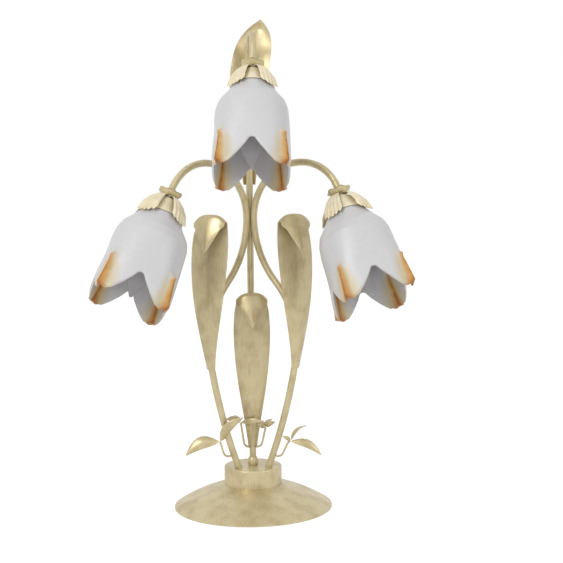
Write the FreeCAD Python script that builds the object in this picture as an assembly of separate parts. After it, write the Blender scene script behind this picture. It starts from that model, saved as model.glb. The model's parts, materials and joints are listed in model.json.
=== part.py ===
import FreeCAD, Part
import math
import os

# Three-light tulip table lamp: a domed base carries a drum, three bent tubes rise from the
# drum and each ends in a hanging tulip head.  Sheet-metal leaves are brazed to the tubes.
# Millimetres, +Z up, origin at the centre of the underside, the front of the lamp faces -Y.

V = FreeCAD.Vector
X_AXIS = V(1, 0, 0)
Y_AXIS = V(0, 1, 0)
Z_AXIS = V(0, 0, 1)

# ---------------------------------------------------------------- driving dimensions
# clearances
weld_gap = 0.15          # brazed or glued joint between two curved faces
fit_gap = 0.1            # a fixed piece in its hole
slack = 0.3              # between pieces that move past each other

# base
base_radius = 94.6
rim_height = 1.6
rim_lift = 0.6           # the rim's edge above the table
dish_wall = 1.2
dish_bulge = 2.4         # how far the dish stands above a straight cone
dish_top = 28.4
felt_thickness = 1.0
cover_radius = 89.8
felt_radius = 88.0
cover_thickness = 2.0
weight_radius = 66.0
weight_edge_height = 8.0
weight_flat_top = 16.5
weight_slope_run = 12.0
boss_radius = 30.0
nut_recess_radius = 16.0
nut_recess_depth = 9.0
cord_way_width = 14.0
cord_way_height = 8.0
cord_riser_radius = 4.0
cord_riser_offset = 21.0
cover_screw_circle = 60.0
cover_screw_radius = 1.5
cover_screw_head = 3.0
cover_screw_grip = 7.0
cover_screw_count = 3

# cord inlet at the back of the dish
bush_radius = 4.5
bush_bore = 3.2
bush_flange_radius = 5.4
bush_flange = 1.6
bush_height = 8.6
bush_inner_end = 68.0
bush_outer_end = 89.0

# drum
drum_radius = 34.4
drum_height = 21.9
drum_wall = 1.2
drum_edge = 2.2
plate_radius = 30.0
plate_thickness = 3.0
ferrule_radius = 6.4
ferrule_foot_radius = 5.2
ferrule_lip = 0.6        # wall of the ferrule at its top
ferrule_height = 9.5
ferrule_belly = 4.0      # height of its widest turn
ferrule_bulge = 0.4

# terminal block inside the drum
block_length = 34.0
block_width = 11.0
block_height = 8.6
block_forward = 9.0      # its back face in front of the stem's axis
block_ways = 3
block_screw_radius = 1.9
block_screw_depth = 3.0
block_screw_wall = 1.0
block_slot = 0.8

# tubes
tube_radius = 4.0
tube_bore = 3.0
flex_radius = 1.6
flex_bend = 6.0
stem_bottom = 4.6
stem_window = 5.0
stem_window_bottom = 30.6
stem_window_top = 42.4
nut_flats = 13.0
nut_thickness = 5.0
washer_radius = 11.0
washer_thickness = 1.5

# side arms: below the waist each lies in an upright plane
arm_spread = 30.0        # degrees forward of the X axis below the waist
waist_offset = 4.3       # sideways, where the two arms nearly touch
waist_forward = 7.1      # in front of the centre stem
waist_height = 347.0
waist_radius = 116.0     # the bend below the waist
waist_turn = 40.5
belly_radius = 110.0     # the bend at the widest part of the lower stretch
belly_lean = 9.7
foot_radius = 650.0      # the long gentle bend down to the drum
left_rise_spread = 40.0  # degrees forward of the X axis above the waist
left_rise_radius = 62.5  # the bend above the waist
left_rise_turn = 30.0
left_arch_radius = 64.9
right_rise_spread = 35.0
right_rise_radius = 64.1
right_rise_turn = 90.0
right_arch_radius = 58.2
side_drop = 6.0          # straight stretch before a side head

# centre stem
centre_arch_radius = 30.0
centre_arch_top = 557.5
centre_drop = 26.3
centre_azimuth = -86.0   # the arch's plane, degrees from the X axis

# each head hangs along an azimuth, in degrees from the X axis, tilted out of the upright
centre_head = (-96.0, 24.2)
left_head = (227.5, 30.5)
right_head = (-61.2, 28.7)

# how far each head's petals are turned about its own axis, degrees
centre_petal_turn = 3.6
left_petal_turn = 50.2
right_petal_turn = -25.0

# head, along its own axis from the end of the tube
nipple_thread_radius = 5.0
nipple_sleeve_radius = 6.2
nipple_sleeve = 4.0
nipple_length = 13.0
collar_thickness = 0.8
collar_flat_radius = 8.0
collar_radius = 13.2
collar_rise = 5.2
collar_lobes = 6
collar_lobe_depth = 1.6
calyx_thickness = 0.7
calyx_flat_radius = 7.6
calyx_shoulder_radius = 20.0
calyx_shoulder_drop = 8.5
calyx_rim_radius = 31.2
calyx_rim_drop = 31.0
sepal_count = 4
sepal_gap_top = 2.2      # half the gap between two sepals near the tube
sepal_gap_rim = 11.5     # half the gap at the rim
locknut_flats = 12.8
locknut_thickness = 2.4
cup_thickness = 0.8
cup_top_radius = 9.0
cup_rim_radius = 23.2
cup_length = 21.0
holder_top_radius = 7.6
holder_radius = 13.6
holder_shoulder = 8.0
holder_length = 40.0
holder_collar_radius = 17.0
holder_collar = 1.5
socket_radius = 7.2
socket_mouth_radius = 9.0
socket_mouth_depth = 4.0
socket_depth = 22.0
ring_radius = 17.4
ring_body_radius = 16.2
ring_flange = 2.0
ring_height = 7.0

# tulip glass
glass_wall = 2.6
glass_neck_drop = 20.4   # top of the glass below the tube's end
neck_hole_radius = 14.6
petal_count = 4
ring_points = 96         # points round each ring of the glass
glass_profile = [        # (drop below the tube's end, outer radius)
    (20.4, 16.5),
    (22.4, 20.0),
    (26.5, 22.8),
    (36.7, 29.8),
    (46.0, 37.2),
    (55.0, 40.6),
    (66.0, 42.2),
    (78.0, 43.0),
    (90.0, 43.8),
    (98.0, 44.4),
    (106.0, 45.0),
    (116.0, 45.8),
    (128.0, 46.8),
    (146.0, 48.4),
]
petal_tip_drop = 139.5
notch_drop = 104.7
notch_radius = 6.2
notch_side_drop = 125.0  # where the notch's straight edge ends
notch_side = 18.5        # half width there
petal_corner_drop = 131.5
petal_corner = 24.5      # half width of the notch at the petals' corners
notch_open = 34.0        # half width of the notch level with the petal tips
notch_run_on = 2.2       # times the side below the corners, to clear the fins
petal_tip_rise = 0.8     # rise of the petals' ends for each mm outwards
lobe_start = 40.0
lobe_depth = 0.045       # share by which the wall swells towards each petal
fin_start = 91.0         # pinched fin down the middle of each petal
fin_full = 97.0
fin_root = 3.0           # how far it stands out near its top
fin_tip = 9.0            # and at the petal's tip
fin_width = 3.4
fin_inside = 0.3         # share of the fin that the inner face follows

# candle bulb, whose point shows between the petals
bulb_cap_radius = 6.9
bulb_cap_length = 21.0
bulb_contact_radius = 3.0
bulb_contact = 1.5
bulb_neck_radius = 6.6
bulb_neck = 3.0
bulb_radius = 17.5
bulb_swell = 14.2        # radius half way from the neck to the belly
bulb_belly = 30.5        # below the top of its glass
bulb_taper = 14.6        # radius half way from the belly to the shoulder of the point
bulb_point_radius = 6.4
bulb_point = 10.5        # length of the point
bulb_tip_radius = 2.2    # rounding at its end
bulb_tip_slope = 25.0    # angle where the rounding starts
bulb_length = 77.5

# long leaves
leaf_thickness = 1.0
leaf_fold_radius = 4.2
leaf_fold_turn = 162.0
leaf_seat_gap = 0.2
leaf_base_width = 10.4
leaf_base_crease = 3.2
leaf_crease = 5.4
leaf_fold_crease = 1.2
leaf_tip_width = 2.0
leaf_steps = 14
leaf_fold_steps = 7
leaf_flap_steps = 6
front_leaf_base = 74.0
front_leaf_length = 181.0
front_leaf_width = 43.0
front_leaf_flap = 40.0
front_leaf_lean = 10.0
side_leaf_base = 172.0
side_leaf_length = 176.0
side_leaf_width = 46.0
side_leaf_flap = 42.0
side_leaf_lean = 10.0
side_leaf_drift = 9.0    # how far the tip leans back towards the stem
side_leaf_facing = 28.0  # degrees the side leaves face outward from straight forward
top_leaf_base = 386.0
top_leaf_height = 580.0
top_leaf_width = 45.0
top_leaf_base_width = 14.0
top_leaf_lean = 9.0
top_leaf_drift = 16.0    # the tip leans to the right

# small leaf sprays
wire_radius = 1.2
wire_bend = 7.5
wire_curl_radius = 10.0
wire_seat = 0.4          # the wire's flat end against the tube's round side
spray_foot = 73.7        # the centre sprays leave the stem below the front leaf
leaflet_thickness = 0.7
leaflet_tip = 1.0        # width of a leaflet at its root and tip
leaflet_crease = 0.12    # depth of the crease as a share of the width
leaflet_skew = 0.85
leaflet_stations = 6
leaflet_lift = 0.7
leaflet_fan = 1.1

# ---------------------------------------------------------------- derived levels
cover_bottom = felt_thickness
cover_top = cover_bottom + cover_thickness
dish_under = dish_top - dish_wall
drum_top = dish_top + drum_height
drum_ceiling = drum_top - drum_wall
plate_bottom = drum_ceiling - plate_thickness
collar_top = 0.0
calyx_top = collar_top + collar_thickness
locknut_top = calyx_top + calyx_thickness
cup_top = locknut_top + locknut_thickness
holder_top = cup_top + cup_thickness
holder_bottom = holder_top + holder_length
socket_floor = holder_bottom - socket_depth
ring_top = glass_neck_drop + glass_wall + slack
head_axes = {"centre": centre_head, "left": left_head, "right": right_head}
petal_turns = {"centre": centre_petal_turn, "left": left_petal_turn, "right": right_petal_turn}
side_rises = {
    "left": (left_rise_spread, left_rise_radius, left_rise_turn, left_arch_radius),
    "right": (right_rise_spread, right_rise_radius, right_rise_turn, right_arch_radius),
}


# ---------------------------------------------------------------- helpers
def revolve(points, smooth=()):
    """Turn a closed outline of (radius, height) points about Z.

    Segment i joins point i to the next one.  Where smooth holds (i, radius, height) that
    segment is an arc through the given middle point.
    """
    middles = {i: V(r, 0, z) for i, r, z in smooth}
    corners = [V(r, 0, z) for r, z in points]
    edges = []
    for i, start in enumerate(corners):
        end = corners[(i + 1) % len(corners)]
        if i in middles:
            edges.append(Part.Arc(start, middles[i], end).toShape())
        else:
            edges.append(Part.LineSegment(start, end).toShape())
    face = Part.Face(Part.Wire(edges))
    return face.revolve(V(0, 0, 0), Z_AXIS, 360)


def hexagon_prism(flats, height, base_z):
    """A hexagonal prism across the given flats, standing on base_z."""
    radius = flats / 2 / math.cos(math.radians(30))
    corners = [V(radius * math.cos(math.radians(60 * k)),
                 radius * math.sin(math.radians(60 * k)), base_z) for k in range(6)]
    face = Part.Face(Part.makePolygon(corners + corners[:1]))
    return face.extrude(V(0, 0, height))


class TubePath:
    """A tube's centre line: straight runs joined by tangent arcs."""

    def __init__(self, start, direction):
        self.start = start
        self.heading = direction
        self.place = start
        self.direction = direction
        self.edges = []

    def line(self, length):
        """Go straight on."""
        end = self.place + self.direction * length
        self.edges.append(Part.LineSegment(self.place, end).toShape())
        self.place = end

    def bend(self, radius, target):
        """Turn towards the unit vector target along an arc."""
        turn = self.direction.getAngle(target)
        side = target - self.direction * self.direction.dot(target)
        side.normalize()
        centre = self.place + side * radius
        stops = []
        for angle in (turn / 2, turn):
            reach = self.direction * (radius * math.sin(angle))
            stops.append(centre + reach - side * (radius * math.cos(angle)))
        self.edges.append(Part.Arc(self.place, stops[0], stops[1]).toShape())
        self.place = stops[1]
        self.direction = target


def sweep(path, outer, inner=0.0):
    """A round bar, or a tube, along a path."""
    wire = Part.Wire(path.edges)
    disc = Part.Face(Part.Wire(Part.makeCircle(outer, path.start, path.heading)))
    bar = wire.makePipe(disc)
    if inner > 0:
        core = Part.Face(Part.Wire(Part.makeCircle(inner, path.start, path.heading)))
        bar = bar.cut(wire.makePipe(core))
    return bar


def upward(angle):
    """The unit vector in the XY plane at angle degrees from +X."""
    a = math.radians(angle)
    return V(math.cos(a), math.sin(a), 0)


def aim(azimuth, lean):
    """The unit vector lean degrees from straight up, towards azimuth degrees from +X."""
    a = math.radians(lean)
    return upward(azimuth) * math.sin(a) + Z_AXIS * math.cos(a)


# ---------------------------------------------------------------- base
def dish_profile_height(radius):
    """Height of the dish's outer face at a radius, on its arc."""
    centre, big = dish_arc()
    return centre[1] + math.sqrt(big * big - (radius - centre[0]) ** 2)


def dish_arc():
    """Centre (radius, height) and radius of the dish's profile arc."""
    rim = (base_radius, rim_lift + rim_height)
    top = (drum_radius, dish_top)
    run = rim[0] - top[0]
    fall = top[1] - rim[1]
    chord = math.hypot(run, fall)
    big = (chord * chord / 4 + dish_bulge * dish_bulge) / (2 * dish_bulge)
    middle = ((rim[0] + top[0]) / 2, (rim[1] + top[1]) / 2)
    normal = (fall / chord, run / chord)
    reach = big - dish_bulge
    return (middle[0] - normal[0] * reach, middle[1] - normal[1] * reach), big


def make_base_dish():
    """Spun steel dish with a rolled rim, a flat under the drum and a cord hole."""
    middle = (base_radius + drum_radius) / 2
    inner_rim = base_radius - dish_wall
    rim_top = rim_lift + rim_height
    hole = tube_radius + fit_gap
    outline = [
        (base_radius, rim_lift),
        (base_radius, rim_top),
        (drum_radius, dish_top),
        (hole, dish_top),
        (hole, dish_under),
        (drum_radius, dish_under),
        (inner_rim, rim_top - dish_wall),
        (inner_rim, rim_lift),
    ]
    arcs = [
        (1, middle, dish_profile_height(middle)),
        (5, middle, dish_profile_height(middle) - dish_wall),
    ]
    dish = revolve(outline, arcs)
    inlet_start = V(0, bush_inner_end, bush_height)
    inlet = Part.makeCylinder(bush_radius + fit_gap, base_radius, inlet_start, Y_AXIS)
    riser = Part.makeCylinder(cord_riser_radius, 3 * dish_wall,
                              V(0, cord_riser_offset, dish_under - dish_wall), Z_AXIS)
    return dish.cut(inlet).cut(riser)


def make_base_weight():
    """Cast-iron ballast with a central boss, a nut recess and a way for the cord."""
    bottom = cover_top
    outline = [
        (tube_radius + fit_gap, bottom + nut_recess_depth),
        (nut_recess_radius, bottom + nut_recess_depth),
        (nut_recess_radius, bottom),
        (weight_radius, bottom),
        (weight_radius, bottom + weight_edge_height),
        (weight_radius - weight_slope_run, weight_flat_top),
        (boss_radius, weight_flat_top),
        (boss_radius, dish_under),
        (tube_radius + fit_gap, dish_under),
    ]
    weight = revolve(outline)
    way = Part.makeBox(cord_way_width, weight_radius, cord_way_height,
                       V(-cord_way_width / 2, nut_recess_radius / 2, bottom))
    riser = Part.makeCylinder(cord_riser_radius, dish_under, V(0, cord_riser_offset, bottom), Z_AXIS)
    weight = weight.cut(way).cut(riser)
    for place in cover_screw_places():
        radius = cover_screw_radius + fit_gap / 2
        pilot = Part.makeCylinder(radius, cover_screw_grip, place + V(0, 0, bottom))
        weight = weight.cut(pilot)
    return weight


def cover_screw_places():
    """Centres of the cover screws, clear of the cord way at the back."""
    step = 360.0 / cover_screw_count
    return [upward(-90 + step * k) * cover_screw_circle for k in range(cover_screw_count)]


def make_base_cover():
    """Steel disc that closes the underside, countersunk for its screws."""
    cover = Part.makeCylinder(cover_radius, cover_thickness, V(0, 0, cover_bottom))
    for place in cover_screw_places():
        seat = place + V(0, 0, cover_bottom)
        radius = cover_screw_radius + fit_gap
        shank = Part.makeCylinder(radius, cover_thickness, seat)
        sink = Part.makeCone(cover_screw_head + fit_gap, radius, cover_screw_radius, seat)
        cover = cover.cut(shank).cut(sink)
    return cover


def make_cover_screws():
    """Countersunk screws through the cover into the ballast."""
    screws = []
    for place in cover_screw_places():
        head = Part.makeCone(cover_screw_head, cover_screw_radius, cover_screw_radius,
                             place + V(0, 0, cover_bottom))
        length = cover_thickness - cover_screw_radius + cover_screw_grip
        neck = place + V(0, 0, cover_bottom + cover_screw_radius)
        shank = Part.makeCylinder(cover_screw_radius, length, neck)
        screws.append(head.fuse(shank).removeSplitter())
    return Part.Compound(screws)


def make_felt_pad():
    """Felt disc glued under the cover; the lamp rests on it."""
    return Part.makeCylinder(felt_radius, felt_thickness)


def make_cord_bush():
    """Bush in the back of the dish that the mains cord would pass through."""
    length = bush_outer_end - bush_inner_end
    body = Part.makeCylinder(bush_radius, length, V(0, bush_inner_end, bush_height), Y_AXIS)
    flange = Part.makeCylinder(bush_flange_radius, bush_flange, V(0, bush_inner_end, bush_height), Y_AXIS)
    bore = Part.makeCylinder(bush_bore, length, V(0, bush_inner_end, bush_height), Y_AXIS)
    return body.fuse(flange).cut(bore).removeSplitter()


def make_drum():
    """Spun drum that stands on the dish and takes the three tubes in its top."""
    outline = [
        (drum_radius, dish_top),
        (drum_radius, drum_top - drum_edge),
        (drum_radius - drum_edge, drum_top),
        (0, drum_top),
        (0, drum_ceiling),
        (drum_radius - drum_edge, drum_ceiling),
        (drum_radius - drum_wall, drum_top - drum_edge),
        (drum_radius - drum_wall, dish_top),
    ]
    bend = drum_edge / math.sqrt(2)
    inner_bend = (drum_edge - drum_wall) / math.sqrt(2)
    corner = (drum_radius - drum_edge, drum_top - drum_edge)
    arcs = [
        (1, corner[0] + bend, corner[1] + bend),
        (5, corner[0] + inner_bend, corner[1] + inner_bend),
    ]
    drum = revolve(outline, arcs)
    for cutter in tube_cutters():
        drum = drum.cut(cutter)
    return drum


def make_stem_plate():
    """Steel plate under the drum's top that the three tubes are brazed into."""
    plate = Part.makeCylinder(plate_radius, plate_thickness, V(0, 0, plate_bottom))
    for cutter in tube_cutters():
        plate = plate.cut(cutter)
    return plate


def tube_cutters():
    """Straight bars, a fit larger than the tubes, where they pass the drum's top."""
    radius = tube_radius + fit_gap
    cutters = [Part.makeCylinder(radius, drum_top, V(0, 0, dish_top))]
    for side in ("left", "right"):
        foot, lean = arm_foot(side)
        reach = drum_height
        cutters.append(Part.makeCylinder(radius, 2 * reach, foot - lean * reach, lean))
    return cutters


def make_stem_ferrule():
    """Turned collar brazed on the centre stem; it presses the drum down."""
    bore = tube_radius + fit_gap
    top = drum_top + ferrule_height
    belly = drum_top + ferrule_belly
    lip = bore + ferrule_lip
    outline = [
        (bore, drum_top),
        (ferrule_foot_radius, drum_top),
        (ferrule_radius, belly),
        (lip, top),
        (bore, top),
    ]
    lower = (ferrule_foot_radius + ferrule_radius) / 2 + ferrule_bulge
    upper = (ferrule_radius + lip) / 2 + ferrule_bulge
    arcs = [(1, lower, (drum_top + belly) / 2), (2, upper, (belly + top) / 2)]
    return revolve(outline, arcs)


def make_base_nut():
    """Hexagon nut on the stem's threaded end, under the ballast."""
    top = cover_top + nut_recess_depth - washer_thickness
    nut = hexagon_prism(nut_flats, nut_thickness, top - nut_thickness)
    return nut.cut(Part.makeCylinder(tube_radius + fit_gap, dish_top))


def make_base_washer():
    """Washer between the nut and the ballast."""
    bottom = cover_top + nut_recess_depth - washer_thickness
    washer = Part.makeCylinder(washer_radius, washer_thickness, V(0, 0, bottom))
    return washer.cut(Part.makeCylinder(tube_radius + fit_gap, dish_top))


def make_terminal_block():
    """Three-way terminal block on the dish, inside the drum."""
    corner = V(-block_length / 2, -block_forward - block_width, dish_top)
    block = Part.makeBox(block_length, block_width, block_height, corner)
    depth = block_screw_depth + fit_gap
    for place in block_screw_places():
        block = block.cut(Part.makeCylinder(block_screw_radius + fit_gap, depth, place - V(0, 0, depth)))
    return block


def block_screw_places():
    """Tops of the clamping screws, along the front edge of the block."""
    pitch = block_length / block_ways
    level = dish_top + block_height
    row = -block_forward - block_width + block_screw_radius + block_screw_wall
    return [V(pitch * (k - (block_ways - 1) / 2.0), row, level) for k in range(block_ways)]


def make_terminal_screws():
    """Brass clamping screws, one for each way."""
    screws = []
    for place in block_screw_places():
        bottom = place - V(0, 0, block_screw_depth)
        screw = Part.makeCylinder(block_screw_radius, block_screw_depth, bottom)
        corner = place - V(1.5 * block_screw_radius, block_slot / 2, block_slot)
        slot = Part.makeBox(3 * block_screw_radius, block_slot, block_slot, corner)
        screws.append(screw.cut(slot))
    return Part.Compound(screws)


# ---------------------------------------------------------------- tubes
def outward_azimuth(side, spread):
    """The azimuth that points out to a side, spread degrees forward of the X axis."""
    return 180.0 + spread if side == "left" else -spread


def waist_place(side):
    """The middle of a side arm, where the arms pass in front of the centre stem."""
    sign = -1 if side == "left" else 1
    return V(sign * waist_offset, -waist_forward, waist_height)


def head_aim(name):
    """The way a head hangs from the end of its tube."""
    azimuth, tilt = head_axes[name]
    return aim(azimuth, 180.0 - tilt)


def arm_lower_path(side):
    """The arm from its waist down to the drum's top."""
    azimuth = outward_azimuth(side, arm_spread)
    path = TubePath(waist_place(side), aim(azimuth, 180.0))
    path.bend(waist_radius, aim(azimuth, 180.0 - waist_turn))
    path.bend(belly_radius, aim(azimuth, 180.0 + belly_lean))
    path.bend(foot_radius, aim(azimuth, 180.0 + foot_lean(path.place.z, drum_top)))
    return path


def foot_lean(top, height):
    """The lean in degrees of the long foot bend, which starts at top, at a height."""
    fall = max(0.0, top - height) / foot_radius
    return math.degrees(math.asin(math.sin(math.radians(belly_lean)) + fall))


def arm_upper_path(side):
    """The arm from its waist up over the arch to the head."""
    spread, rise_radius, rise_turn, arch_radius = side_rises[side]
    path = TubePath(waist_place(side), Z_AXIS)
    path.bend(rise_radius, aim(outward_azimuth(side, spread), rise_turn))
    path.bend(arch_radius, head_aim(side))
    path.line(side_drop)
    return path


def arm_foot(side):
    """Where the arm meets the drum's top, and its upward direction there."""
    path = arm_lower_path(side)
    return path.place, path.direction * -1


def make_side_arm(side):
    """One bent tube from the stem plate to the head."""
    lower = arm_lower_path(side)
    foot, lean = arm_foot(side)
    lower.line((drum_top - plate_bottom) / lean.z)
    below = sweep(lower, tube_radius, tube_bore)
    above = sweep(arm_upper_path(side), tube_radius, tube_bore)
    return below.fuse(above).removeSplitter()


def make_side_flex(side):
    """The flex inside a side arm, from the terminal block to the holder."""
    lower = arm_lower_path(side)
    foot, lean = arm_foot(side)
    stop = dish_top + block_height + weld_gap
    lower.line((drum_top - stop) / lean.z - flex_radius * math.sqrt(1 - lean.z ** 2))
    upper = arm_upper_path(side)
    upper.line(nipple_length - weld_gap)
    return sweep(lower, flex_radius).fuse(sweep(upper, flex_radius)).removeSplitter()


def over_the_arch(path):
    """Carry a path that climbs the centre stem over its arch to the head."""
    path.line(centre_arch_top - centre_arch_radius - path.place.z)
    path.bend(centre_arch_radius, upward(centre_azimuth))
    path.bend(centre_arch_radius, head_aim("centre"))
    path.line(centre_drop)
    return path


def make_centre_stem():
    """The centre tube, with a window in the drum for its flex."""
    path = over_the_arch(TubePath(V(0, 0, stem_bottom), Z_AXIS))
    stem = sweep(path, tube_radius, tube_bore)
    height = stem_window_top - stem_window_bottom
    corner = V(-stem_window / 2, -2 * tube_radius, stem_window_bottom)
    return stem.cut(Part.makeBox(stem_window, 2 * tube_radius, height, corner))


def make_centre_flex():
    """The centre flex: out of the block, up the stem and over to the holder."""
    level = dish_top + block_height * 0.6
    path = TubePath(V(0, -block_forward + weld_gap, level), Y_AXIS)
    path.line(block_forward - weld_gap - flex_bend)
    path.bend(flex_bend, Z_AXIS)
    over_the_arch(path)
    path.line(nipple_length - weld_gap)
    return sweep(path, flex_radius)


# ---------------------------------------------------------------- heads
def head_place(name):
    """Placement that hangs a head, drawn below its origin, on the end of its tube."""
    if name == "centre":
        path = over_the_arch(TubePath(V(0, 0, stem_bottom), Z_AXIS))
    else:
        path = arm_upper_path(name)
    azimuth, tilt = head_axes[name]
    swing = FreeCAD.Rotation(Z_AXIS, azimuth).multiply(FreeCAD.Rotation(Y_AXIS, -tilt))
    return FreeCAD.Placement(path.place, swing.multiply(FreeCAD.Rotation(Z_AXIS, petal_turns[name])))


def draw_nipple():
    """Hollow threaded nipple brazed on the tube's end."""
    tube_hole = tube_radius + fit_gap
    return revolve([
        (tube_bore, 0),
        (tube_hole, 0),
        (tube_hole, nipple_sleeve),
        (nipple_sleeve_radius, nipple_sleeve),
        (nipple_sleeve_radius, 0),
        (nipple_thread_radius, 0),
        (nipple_thread_radius, -nipple_length),
        (tube_bore, -nipple_length),
    ])


def draw_collar():
    """Ruffled washer: a shallow bowl, open upwards, with a lobed edge."""
    hole = nipple_thread_radius + fit_gap
    clear = nipple_sleeve_radius + 1.0
    low = -calyx_top
    bowl = revolve(
        [
            (hole, low),
            (collar_flat_radius, low),
            (collar_radius, low + collar_rise),
            (collar_radius - collar_thickness, low + collar_rise + collar_thickness * 0.6),
            (clear, low + collar_thickness),
            (hole, low + collar_thickness),
        ],
        [
            (1, collar_flat_radius + 3.4, low + collar_rise * 0.36),
            (3, clear + 2.6, low + collar_rise * 0.36 + collar_thickness * 0.7),
        ],
    )
    step = 360.0 / collar_lobes
    for k in range(collar_lobes):
        direction = upward(step * (k + 0.5))
        centre = direction * (collar_radius + collar_lobe_depth) + V(0, 0, low - collar_rise)
        bowl = bowl.cut(Part.makeCylinder(2 * collar_lobe_depth, 4 * collar_rise, centre))
    return bowl


def draw_calyx():
    """Stamped cap of four sepals over the cup."""
    hole = nipple_thread_radius + fit_gap
    top = -calyx_top
    under = top - calyx_thickness
    cap = revolve(
        [
            (hole, top),
            (calyx_flat_radius, top),
            (calyx_shoulder_radius, top - calyx_shoulder_drop),
            (calyx_rim_radius, top - calyx_rim_drop),
            (calyx_rim_radius - calyx_thickness, top - calyx_rim_drop),
            (calyx_shoulder_radius - calyx_thickness, under - calyx_shoulder_drop),
            (calyx_flat_radius, under),
            (hole, under),
        ],
        [
            (1, 14.6, top - 2.6),
            (2, 26.8, top - 18.6),
            (4, 26.8 - calyx_thickness, top - 18.6),
            (5, 14.6 - calyx_thickness / 2, under - 2.6),
        ],
    )
    reach = calyx_rim_radius + 4
    slope = (sepal_gap_rim - sepal_gap_top) / (calyx_rim_radius - calyx_flat_radius)
    far = sepal_gap_rim + slope * 4
    step = 360.0 / sepal_count
    for k in range(sepal_count):
        wedge = Part.Face(Part.makePolygon([
            V(calyx_flat_radius, -sepal_gap_top, 2),
            V(reach, -far, 2),
            V(reach, far, 2),
            V(calyx_flat_radius, sepal_gap_top, 2),
            V(calyx_flat_radius, -sepal_gap_top, 2),
        ])).extrude(V(0, 0, -calyx_rim_drop - 8))
        wedge.rotate(V(0, 0, 0), Z_AXIS, step * k)
        cap = cap.cut(wedge)
    for k in range(sepal_count):
        cap = cap.cut(sepal_trim(step * (k + 0.5)))
    return cap


def sepal_trim(angle):
    """Cuts a sepal's lower corners off so that it ends in a blunt point."""
    tip = -calyx_top - calyx_rim_drop
    shoulder = tip + 12.0
    half = calyx_rim_radius * 0.62
    outer = Part.Face(Part.makePolygon([
        V(0, -half, shoulder),
        V(0, 0, tip + 0.5),
        V(0, half, shoulder),
        V(0, half, tip - 4),
        V(0, -half, tip - 4),
        V(0, -half, shoulder),
    ])).extrude(V(calyx_rim_radius + 6, 0, 0))
    outer.rotate(V(0, 0, 0), Z_AXIS, angle)
    return outer


def draw_locknut():
    """Thin nut between the sepals and the cup."""
    nut = hexagon_prism(locknut_flats, locknut_thickness, -cup_top)
    return nut.cut(Part.makeCylinder(nipple_thread_radius + fit_gap, 2 * cup_top, V(0, 0, -2 * cup_top)))


def draw_cup():
    """Conical inner cup that hides the lampholder and the glass neck."""
    hole = nipple_thread_radius + fit_gap
    top = -cup_top
    under = top - cup_thickness
    rim = top - cup_length
    return revolve([
        (hole, top),
        (cup_top_radius, top),
        (cup_top_radius + 2.6, top - 2.2),
        (cup_rim_radius - 0.9, rim + 2.0),
        (cup_rim_radius, rim),
        (cup_rim_radius - cup_thickness, rim),
        (cup_rim_radius - 0.9 - cup_thickness, rim + 2.0),
        (cup_top_radius + 2.6 - cup_thickness, under - 2.0),
        (cup_top_radius - cup_thickness, under),
        (hole, under),
    ])


def draw_holder():
    """Lampholder: screwed on the nipple, with a fixed collar above the glass."""
    hole = nipple_thread_radius + fit_gap
    top = -holder_top
    shoulder = top - holder_shoulder
    collar_low = -glass_neck_drop
    collar_high = collar_low + holder_collar
    bottom = -holder_bottom
    floor = -socket_floor
    return revolve([
        (hole, top),
        (holder_top_radius, top),
        (holder_radius, shoulder),
        (holder_radius, collar_high),
        (holder_collar_radius, collar_high),
        (holder_collar_radius, collar_low),
        (holder_radius, collar_low),
        (holder_radius, bottom),
        (socket_mouth_radius, bottom),
        (socket_mouth_radius, bottom + socket_mouth_depth),
        (socket_radius, bottom + socket_mouth_depth),
        (socket_radius, floor),
        (0, floor),
        (0, -nipple_length - weld_gap),
        (hole, -nipple_length - weld_gap),
    ])


def draw_ring():
    """Shade ring that screws up the holder and carries the glass."""
    top = -ring_top
    return revolve([
        (holder_radius + slack, top),
        (ring_radius, top),
        (ring_radius, top - ring_flange),
        (ring_body_radius, top - ring_flange),
        (ring_body_radius, top - ring_height),
        (holder_radius + slack, top - ring_height),
    ])


def ramp(value, low, high):
    """Smooth step from 0 at low to 1 at high."""
    share = min(1.0, max(0.0, (value - low) / (high - low)))
    return share * share * (3 - 2 * share)


def tulip_radius(drop, angle, fin_share):
    """Radius of the glass at a drop and an angle, with its lobes and pinched fins."""
    wide = profile_radius_at(drop)
    lobe = lobe_depth * ramp(drop, lobe_start, notch_drop) * -math.cos(math.radians(petal_count * angle))
    sector = 360.0 / petal_count
    off = wide * math.radians((angle % sector) - sector / 2)
    down = (drop - fin_start) / (petal_tip_drop - fin_start)
    fin = ramp(drop, fin_start, fin_full) * (fin_root + (fin_tip - fin_root) * down)
    return wide * (1 + lobe) + fin_share * fin * math.exp(-(off / fin_width) ** 2)


def profile_radius_at(drop):
    """The glass's outer radius at a drop, between the points of its profile."""
    for (upper, wide), (lower, wider) in zip(glass_profile, glass_profile[1:]):
        if drop <= lower:
            return wide + (wider - wide) * (drop - upper) / (lower - upper)
    return glass_profile[-1][1]


def tulip_body(inset, top_drop, fin_share):
    """Solid lofted through the glass's rings below a drop, inset by a wall."""
    drops = [top_drop] + [drop for drop, radius in glass_profile if drop > top_drop + 1.0]
    rings = []
    for drop in drops:
        points = []
        for k in range(ring_points):
            angle = 360.0 * k / ring_points
            r = tulip_radius(drop, angle, fin_share) - inset
            points.append(upward(angle) * r - V(0, 0, drop))
        curve = Part.BSplineCurve()
        curve.interpolate(Points=points, PeriodicFlag=True)
        rings.append(Part.Wire(curve.toShape()))
    return Part.makeLoft(rings, True, True)


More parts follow.
